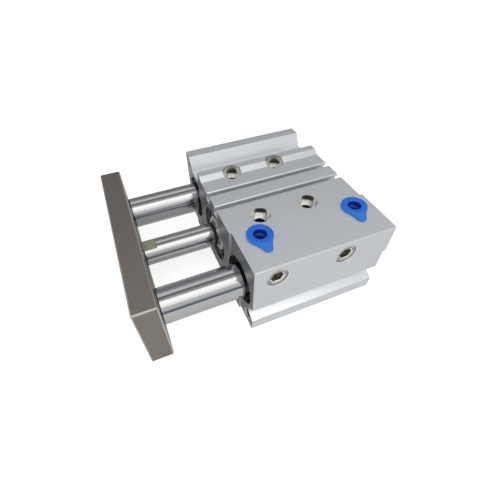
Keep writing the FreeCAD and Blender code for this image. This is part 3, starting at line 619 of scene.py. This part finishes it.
# Walls of the hexagon socket are the same nickel, painted darker for the shade inside the
# socket.
socket_painted_shade = new_finish("socket_painted_shade", (0.42, 0.4, 0.34), 0.2, 1, [
    (grain, {"Grains per metre": 2500, "Contrast": 0.5}, 1e-5),
])
plug_finishes = [bright_nickel, socket_painted_shade, turned_nickel]
plug_face = 0.0461
for name, port_x in zip(("side_port_plug_front", "side_port_plug_rear"), side_ports):
    plug = copy_of(name)
    socket_mouth = [
        edge for edge in sharp_edges(plug)
        if min(vert.co.y for vert in edge.verts) > plug_face and edge.calc_length() > 0.002
    ]
    for face in plug.faces:
        middle = face.calc_center_median()
        off_centre = math.hypot(middle.x - port_x, middle.z - side_port_height)
        if 0.042 < middle.y < plug_face and off_centre < 0.003:
            face.material_index = plug_finishes.index(socket_painted_shade)
        elif face.normal.y > 0.9 and middle.y > plug_face:
            face.material_index = plug_finishes.index(turned_nickel)
    ease(plug, socket_mouth, 0.0005, 1, 0)
    ease(plug, sharp_edges(plug), 0.00015, 2, 0)
    put_in_place(plug, f"plated_{name}", name, "cylinder", plug_finishes)

# --- Ball of the air passage ---------------------------------------------------------------
# Bearing ball pressed into the mouth of the drilled passage, ground and polished.
polished_ball = new_finish("polished_ball", (0.6, 0.6, 0.61), 0.08, 1, [
    (grain, {"Grains per metre": 900, "Contrast": 0.05}, 2e-7),
])
finish_solids(["passage_ball"], polished_ball)

# --- Port caps ----------------------------------------------------------------------------
# Dust caps of soft blue polythene, injection moulded: a hollow stem, a thin flange and a
# tongue to pull them out by. Thin places look paler, and all edges are round.
moulded_blue = new_finish("moulded_blue", (0.008, 0.17, 0.86), 0.4, 0, [
    (grain, {"Grains per metre": 700, "Contrast": 0.18}, 8e-6),
])
thin_blue = new_finish("thin_blue", (0.02, 0.25, 0.92), 0.38, 0, [
    (grain, {"Grains per metre": 700, "Contrast": 0.18}, 8e-6),
])
# Inside of the hollow stem is the same blue, painted dark for the shade in the hollow.
hollow_painted_shade_blue = new_finish("hollow_painted_shade_blue", (0.004, 0.05, 0.36), 0.45, 0, [
    (grain, {"Grains per metre": 900, "Contrast": 0.2}, 5e-6),
])
cap_finishes = [moulded_blue, thin_blue, hollow_painted_shade_blue]

# Half section of a cap: (radius, height above the face that it sits on).
flange_radius = 0.0059
hollow_radius = 0.0029
cap_profile = [
    (0, -0.0065), (0.0042, -0.0065), (0.0048, -0.0056), (0.0048, 0), (flange_radius, 0),
    (flange_radius, 0.0008), (0.0056, 0.0011), (0.0034, 0.0011), (hollow_radius, 0.0007),
    (hollow_radius, -0.0016), (0.002, -0.002), (0.002, -0.0054), (0, -0.0054),
]
tongue_thickness = 0.0008
tip_radius = 0.0022
tip_reach = 0.0078
port_aside = 0.0285
cap_seat = 0.04205
for name, rides_on, cap_x, turn in (
    ("port_cap_front", "front_cap", 0.0175, 0), ("port_cap_rear", "rear_cap", -0.0295, -12),
):
    cap = bmesh.new()
    rim = [cap.verts.new((radius, 0, height)) for radius, height in cap_profile]
    outline = [cap.edges.new(pair) for pair in zip(rim, rim[1:])]
    bmesh.ops.spin(
        cap, geom=rim + outline, cent=(0, 0, 0), axis=(0, 0, 1), angle=math.tau, steps=48,
        use_merge=True,
    )
    bmesh.ops.remove_doubles(cap, verts=cap.verts, dist=1e-6)
    for face in cap.faces:
        middle = face.calc_center_median()
        reach = math.hypot(middle.x, middle.y)
        if reach > flange_radius - 0.0004 and middle.z > 0.0001:
            face.material_index = cap_finishes.index(thin_blue)
        elif reach < hollow_radius and middle.z > -0.0056:
            face.material_index = cap_finishes.index(hollow_painted_shade_blue)
    tip = bmesh.ops.create_circle(
        cap, cap_ends=True, segments=48, radius=tip_radius,
        matrix=Matrix.Translation((0, tip_reach, 0)),
    )["verts"]
    # The tongue widens from its round tip down into the flange.
    for corner in tip:
        if corner.co.y < tip_reach - 0.00001:
            corner.co = (corner.co.x * 1.75, corner.co.y * 0.5 + 0.0009, 0)
    thickened = bmesh.ops.extrude_face_region(cap, geom=list(tip[0].link_faces))["geom"]
    upper = [item for item in thickened if isinstance(item, bmesh.types.BMVert)]
    bmesh.ops.translate(cap, vec=(0, 0, tongue_thickness), verts=upper)
    for face in {face for corner in upper + tip for face in corner.link_faces}:
        face.material_index = cap_finishes.index(thin_blue)
    bmesh.ops.recalc_face_normals(cap, faces=cap.faces)
    ease(cap, sharp_edges(cap), 0.00022, 3)
    turned = Matrix.Rotation(math.radians(turn), 3, "Z")
    bmesh.ops.rotate(cap, verts=cap.verts, cent=(0, 0, 0), matrix=turned)
    bmesh.ops.translate(cap, verts=cap.verts, vec=(cap_x, port_aside, cap_seat))
    put_in_place(cap, f"moulded_{name}", name, rides_on, cap_finishes)

# --- Tooling plate ------------------------------------------------------------------------
# Flat steel bar, sawn, milled and nickel plated satin. It has four threads for the load and
# a sunk seat for each rod's screw. Its eased edges are painted lighter, a painted highlight.
satin_nickel = new_finish("satin_nickel", (0.275, 0.245, 0.225), 0.40, 0.85, [
    (lines, {"Lines per metre": (2500, 20, 2500), "Contrast": 0.05}, 1e-6),
    (grain, {"Grains per metre": 2000, "Contrast": 0.6}, 1.4e-5),
])
nickel_edge_highlight = new_finish("nickel_edge_highlight", (0.62, 0.59, 0.55), 0.3, 0.9, [
    (grain, {"Grains per metre": 2500, "Contrast": 0.2}, 2e-6),
])
screw_seat = new_finish("screw_seat", (0.3, 0.28, 0.25), 0.25, 0.9, [
    (rings, {"Centre": (0, rod_aside, axis_height), "Across": (0, 1, 1),
             "Rings per metre": 5000, "Contrast": 0.3}, 5e-6),
])
plate_finishes = [satin_nickel, nickel_edge_highlight, screw_seat, satin_nickel, cut_thread]
plate_back, plate_front = 0.065, 0.075
bar = copy_of("tooling_plate")
for face in bar.faces:
    middle = face.calc_center_median()
    to_screw = math.hypot(
        min(abs(middle.y), abs(abs(middle.y) - rod_aside)), middle.z - axis_height
    )
    between = plate_back + 0.0001 < middle.x < plate_front - 0.0001
    on_chamfer = 0.3 < max(abs(component) for component in face.normal) < 0.9
    if between and to_screw < 0.0056:
        face.material_index = plate_finishes.index(screw_seat)
    elif on_chamfer and to_screw > 0.006:
        face.material_index = edge_place
plate_threads = [(across, height) for across in (0.039, -0.039) for height in (0.008, 0.034)]
loose_edges = [
    edge for edge in sharp_edges(bar)
    if all(math.hypot(edge.verts[0].co.y - across, edge.verts[0].co.z - height) > 0.0027
           for across, height in plate_threads)
]
ease(bar, loose_edges, 0.00012, 2, edge_place)
for across, height in plate_threads:
    tap(bar, across, height, plate_front, plate_back, through=True)
put_in_place(
    bar, "plated_bar", "tooling_plate", "carriage", plate_finishes
)

# --- Guide rods ---------------------------------------------------------------------------
# Hardened steel bar, ground on centres, so fine rings run round it. A screw through the
# plate holds each rod.
ground_steel = new_finish("ground_steel", (0.55, 0.56, 0.575), 0.11, 1, [
    (lines, {"Lines per metre": (12, 0, 0), "Contrast": 0.06}, 1e-8),
    (lines, {"Lines per metre": (16000, 0, 0), "Contrast": 0.08}, 1.5e-7),
])
finish_solids(["guide_rod_left", "guide_rod_right"], ground_steel)

# --- Piston rod ---------------------------------------------------------------------------
# Steel bar with hard chrome on it, polished. Two spanner flats are milled next to the plate.
hard_chrome = new_finish("hard_chrome", (0.55, 0.56, 0.57), 0.09, 1, [
    (lines, {"Lines per metre": (9000, 0, 0), "Contrast": 0.06}, 1e-7),
])
# The flats are bare milled steel, and their yellow-green tint is a painted reflection.
milled_flat_painted_reflection = new_finish("milled_flat_painted_reflection", (0.46, 0.45, 0.35), 0.28, 1, [
    (lines, {"Lines per metre": (4000, 200, 0), "Contrast": 0.25}, 3e-6),
])
rod_finishes = [hard_chrome, milled_flat_painted_reflection]
rod = copy_of("piston_rod")
for face in rod.faces:
    middle = face.calc_center_median()
    by_plate = 0.0584 < middle.x < plate_back - 0.0001
    if by_plate and abs(face.normal.z) > 0.95 and abs(middle.z - axis_height) < 0.0052:
        face.material_index = rod_finishes.index(milled_flat_painted_reflection)
ease(rod, sharp_edges(rod), 0.00008, 2)
put_in_place(
    rod, "chromed_piston_rod", "piston_rod", "carriage", rod_finishes
)

# --- Magnet of the piston -----------------------------------------------------------------
# Ring of bonded ferrite that a sensor in the body's grooves feels. It is dark and matt.
bonded_ferrite = new_finish("bonded_ferrite", (0.03, 0.029, 0.03), 0.6, 0.2, [
    (grain, {"Grains per metre": 5000, "Contrast": 0.8}, 1e-5),
])
finish_solids(["piston_magnet"], bonded_ferrite)

# --- Screws of the rods -------------------------------------------------------------------
# Socket head screws of blackened alloy steel. The head is knurled to grip it by hand, and
# its rim and socket are rounded by the forging.
blackened_steel = new_finish("blackened_steel", (0.045, 0.045, 0.047), 0.36, 0.7, [
    (grain, {"Grains per metre": 4500, "Contrast": 0.6}, 5e-6),
])
knurl_height = 0.00012
for name, aside in (
    ("guide_rod_screw_left", rod_aside), ("guide_rod_screw_right", -rod_aside),
    ("piston_rod_screw", 0),
):
    screw = copy_of(name)
    ease(screw, sharp_edges(screw), 0.0002, 2)
    ribs = []
    for face in screw.faces:
        middle = face.calc_center_median()
        off_axis = Vector((0, middle.y - aside, middle.z - axis_height))
        on_rim = abs(face.normal.x) < 0.1 and off_axis.length > 0.0049
        if on_rim and face.calc_area() > 1.5e-6:
            ribs.append((math.atan2(off_axis.z, off_axis.y), face))
    ribs.sort(key=lambda rib: rib[0])
    knurls = [rib[1] for rib in ribs[::2]]
    for face in bmesh.ops.extrude_discrete_faces(screw, faces=knurls)["faces"]:
        bmesh.ops.translate(screw, vec=face.normal * knurl_height, verts=face.verts)
    put_in_place(screw, f"forged_{name}", name, "carriage", [blackened_steel])
